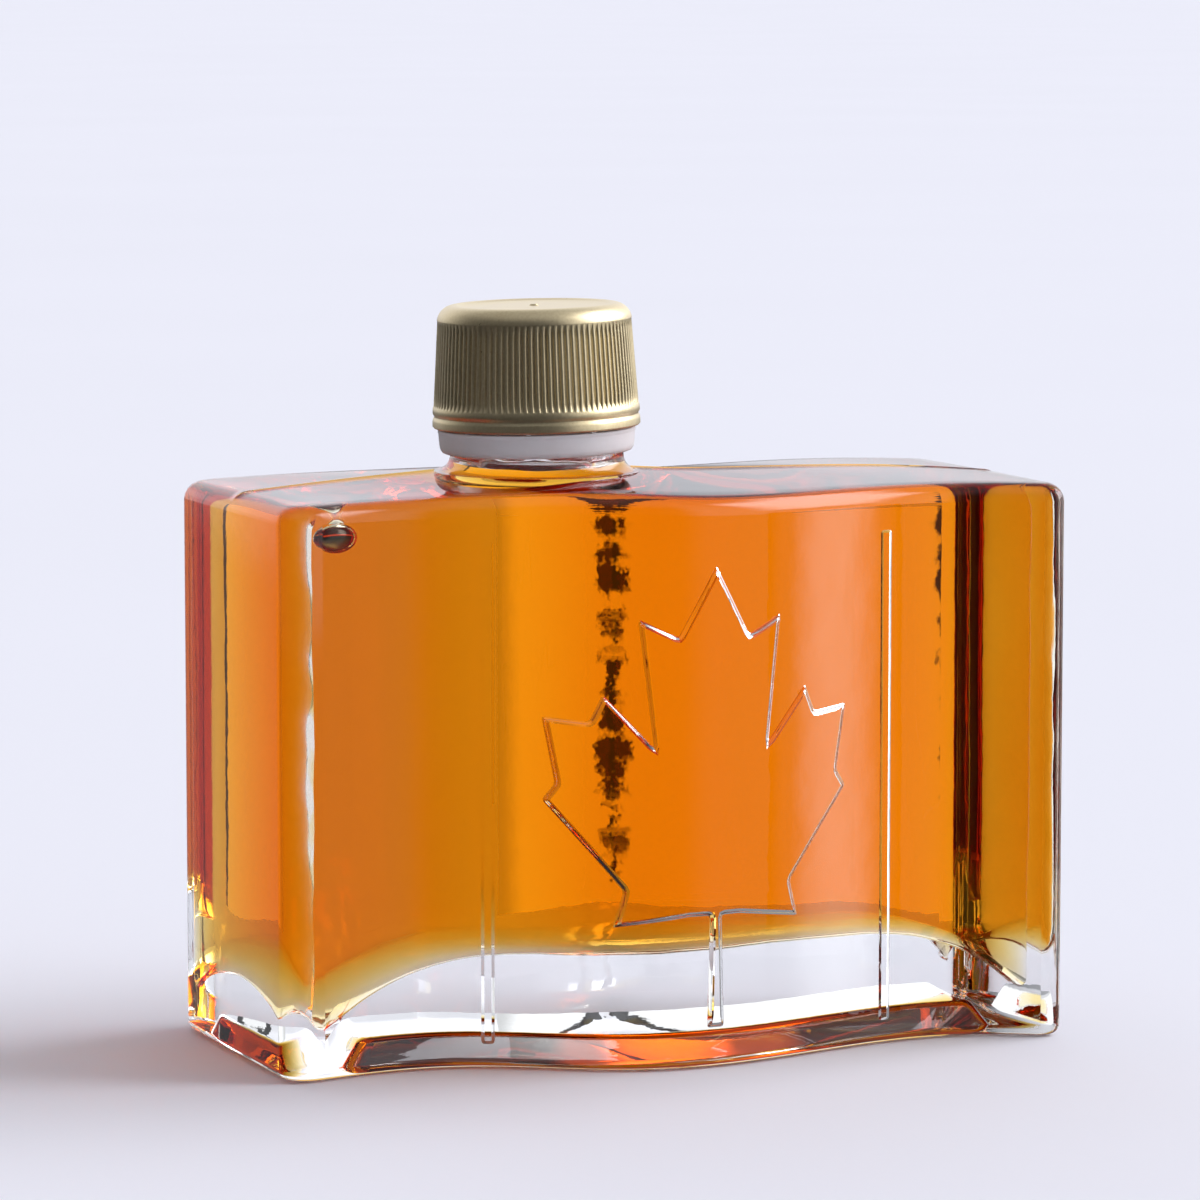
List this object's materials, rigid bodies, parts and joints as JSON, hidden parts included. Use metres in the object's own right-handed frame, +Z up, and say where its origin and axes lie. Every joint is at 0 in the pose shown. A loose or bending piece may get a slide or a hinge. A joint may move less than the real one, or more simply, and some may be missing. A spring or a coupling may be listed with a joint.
{
  "type": "maple syrup bottle",
  "caption": "Flask of clear glass shaped like a flag in the wind, full of amber maple syrup, with a raised leaf, a short neck and a ribbed gold screw cap.",
  "frame": {"origin": "middle of the bounding box, on the plane that the base rests on", "axes": "+Z up the neck, +X along the body towards its right end, the leaf faces -Y"},
  "size_m": [0.1204, 0.0602, 0.1072],
  "materials": {
    "glass": "clear polished flint glass",
    "syrup": "clear amber syrup",
    "cap": "satin gold metallic plastic",
    "seal_ring": "milky translucent plastic"
  },
  "bodies": {
    "root": {"glass_bottle": "glass", "syrup": "syrup", "cap": "cap", "seal_ring": "seal_ring"}
  },
  "joints": []
}
